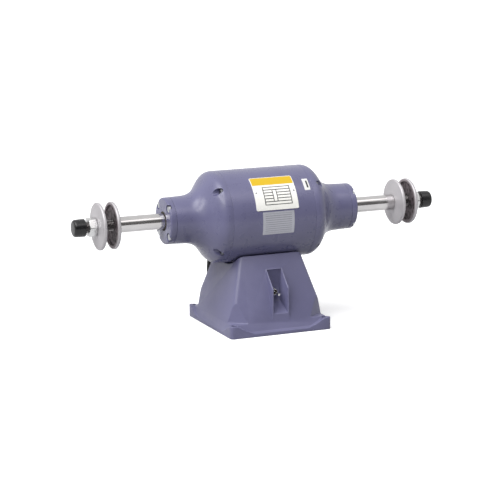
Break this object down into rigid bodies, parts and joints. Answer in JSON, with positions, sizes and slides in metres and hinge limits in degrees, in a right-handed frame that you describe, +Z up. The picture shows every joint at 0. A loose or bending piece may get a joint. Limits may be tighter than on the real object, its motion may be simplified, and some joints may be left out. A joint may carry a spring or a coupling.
{
  "type": "bench polishing lathe",
  "caption": "Double-ended bench polishing lathe: flared motor housing on a tapered cast pedestal, threaded spindle ends with wheel flanges, toggle switch and cord.",
  "frame": {"origin": "on the bench, at the middle of the base outline, under the middle of the spindle", "axes": "+X along the spindle to the right-hand end, -Y to the front with the switch, +Z up"},
  "size_m": [0.705, 0.3416, 0.2873],
  "materials": {
    "painted_casting": "semi-gloss lavender grey enamel over cast iron",
    "polished_steel": "ground and polished",
    "cast_flange_metal": "light grey, matte, machined rim",
    "zinc_plated_steel": "zinc plated",
    "lamination_steel": "varnished laminations",
    "enamelled_copper": "enamelled copper, varnished",
    "black_cord_rubber": "matte black",
    "black_vinyl": "soft satin black",
    "brown_phenolic": "dark brown phenolic",
    "plate_aluminium": "printed white with a yellow band",
    "capacitor_case": "black"
  },
  "bodies": {
    "stand": {"pedestal": "painted_casting", "bottom_cover": "zinc_plated_steel", "bottom_cover_screw_1": "zinc_plated_steel", "bottom_cover_screw_2": "zinc_plated_steel", "bottom_cover_screw_3": "zinc_plated_steel", "bottom_cover_screw_4": "zinc_plated_steel", "motor_bolt_1": "zinc_plated_steel", "motor_bolt_2": "zinc_plated_steel", "motor_shell": "painted_casting", "left_end_bell": "painted_casting", "right_end_bell": "painted_casting", "left_bearing_cap": "painted_casting", "right_bearing_cap": "painted_casting", "left_bearing_cap_screw_1": "zinc_plated_steel", "left_bearing_cap_screw_2": "zinc_plated_steel", "left_bearing_cap_screw_3": "zinc_plated_steel", "left_bearing_cap_screw_4": "zinc_plated_steel", "right_bearing_cap_screw_1": "zinc_plated_steel", "right_bearing_cap_screw_2": "zinc_plated_steel", "right_bearing_cap_screw_3": "zinc_plated_steel", "right_bearing_cap_screw_4": "zinc_plated_steel", "through_bolt_1": "zinc_plated_steel", "through_bolt_2": "zinc_plated_steel", "through_bolt_3": "zinc_plated_steel", "through_bolt_4": "zinc_plated_steel", "through_bolt_nut_1": "zinc_plated_steel", "through_bolt_nut_2": "zinc_plated_steel", "through_bolt_nut_3": "zinc_plated_steel", "through_bolt_nut_4": "zinc_plated_steel", "stator_core": "lamination_steel", "stator_winding": "enamelled_copper", "left_bearing_outer_race": "polished_steel", "right_bearing_outer_race": "polished_steel", "bearing_wave_washer": "polished_steel", "nameplate": "plate_aluminium", "toggle_switch": "brown_phenolic", "switch_nut": "zinc_plated_steel", "start_capacitor": "capacitor_case", "capacitor_strap": "zinc_plated_steel", "cord_strain_relief": "black_cord_rubber", "supply_cord": "black_cord_rubber", "supply_cord_coil": "black_cord_rubber", "supply_plug": "black_cord_rubber"},
    "spindle": {"shaft": "polished_steel", "rotor": "lamination_steel", "left_threaded_end": "polished_steel", "right_threaded_end": "polished_steel", "left_bearing_inner_race": "polished_steel", "right_bearing_inner_race": "polished_steel", "left_inner_flange": "cast_flange_metal", "right_inner_flange": "cast_flange_metal"},
    "left_ball_cage": {"left_bearing_balls_in_cage": "polished_steel"},
    "right_ball_cage": {"right_bearing_balls_in_cage": "polished_steel"},
    "left_clamp_flange": {"left_clamp_flange": "cast_flange_metal"},
    "right_clamp_flange": {"right_clamp_flange": "cast_flange_metal"},
    "left_clamp_nut": {"left_clamp_nut": "zinc_plated_steel"},
    "right_clamp_nut": {"right_clamp_nut": "zinc_plated_steel"},
    "left_tip_cap": {"left_tip_cap": "black_vinyl"},
    "right_tip_cap": {"right_tip_cap": "black_vinyl"},
    "switch_lever": {"switch_lever": "zinc_plated_steel"}
  },
  "joints": [
    {"name": "spindle_spin", "type": "hinge", "parent": "stand", "child": "spindle", "pos_m": [0, 0, 0.204], "axis": [1, 0, 0], "continuous": true},
    {"name": "left_ball_cage_roll", "type": "hinge", "parent": "stand", "child": "left_ball_cage", "pos_m": [-0.1583, 0, 0.204], "axis": [1, 0, 0], "continuous": true},
    {"name": "left_clamp_slide", "type": "slide", "parent": "spindle", "child": "left_clamp_flange", "axis": [-1, 0, 0], "range_m": [-0.0188, 0.0045]},
    {"name": "left_nut_turn", "type": "hinge", "parent": "left_clamp_flange", "child": "left_clamp_nut", "pos_m": [-0.3182, 0, 0.204], "axis": [1, 0, 0], "range_deg": [-2670, 640]},
    {"name": "left_tip_cap_pull", "type": "slide", "parent": "spindle", "child": "left_tip_cap", "axis": [-1, 0, 0], "range_m": [0, 0.03]},
    {"name": "right_ball_cage_roll", "type": "hinge", "parent": "stand", "child": "right_ball_cage", "pos_m": [0.1583, 0, 0.204], "axis": [1, 0, 0], "continuous": true},
    {"name": "right_clamp_slide", "type": "slide", "parent": "spindle", "child": "right_clamp_flange", "axis": [1, 0, 0], "range_m": [-0.0188, 0.0045]},
    {"name": "right_nut_turn", "type": "hinge", "parent": "right_clamp_flange", "child": "right_clamp_nut", "pos_m": [0.3182, 0, 0.204], "axis": [1, 0, 0], "range_deg": [-2670, 640]},
    {"name": "right_tip_cap_pull", "type": "slide", "parent": "spindle", "child": "right_tip_cap", "axis": [1, 0, 0], "range_m": [0, 0.03]},
    {"name": "switch_flip", "type": "hinge", "parent": "stand", "child": "switch_lever", "pos_m": [0.0029, -0.06504, 0.06979], "axis": [-1, 0, 0], "range_deg": [0, 22]}
  ],
  "couplings": [
    {"joint": "left_ball_cage_roll", "follows": "spindle_spin", "ratio": 0.398},
    {"joint": "left_nut_turn", "follows": "left_clamp_slide", "rad_per_m": 2473.7},
    {"joint": "right_ball_cage_roll", "follows": "spindle_spin", "ratio": 0.398},
    {"joint": "right_nut_turn", "follows": "right_clamp_slide", "rad_per_m": 2473.7}
  ]
}
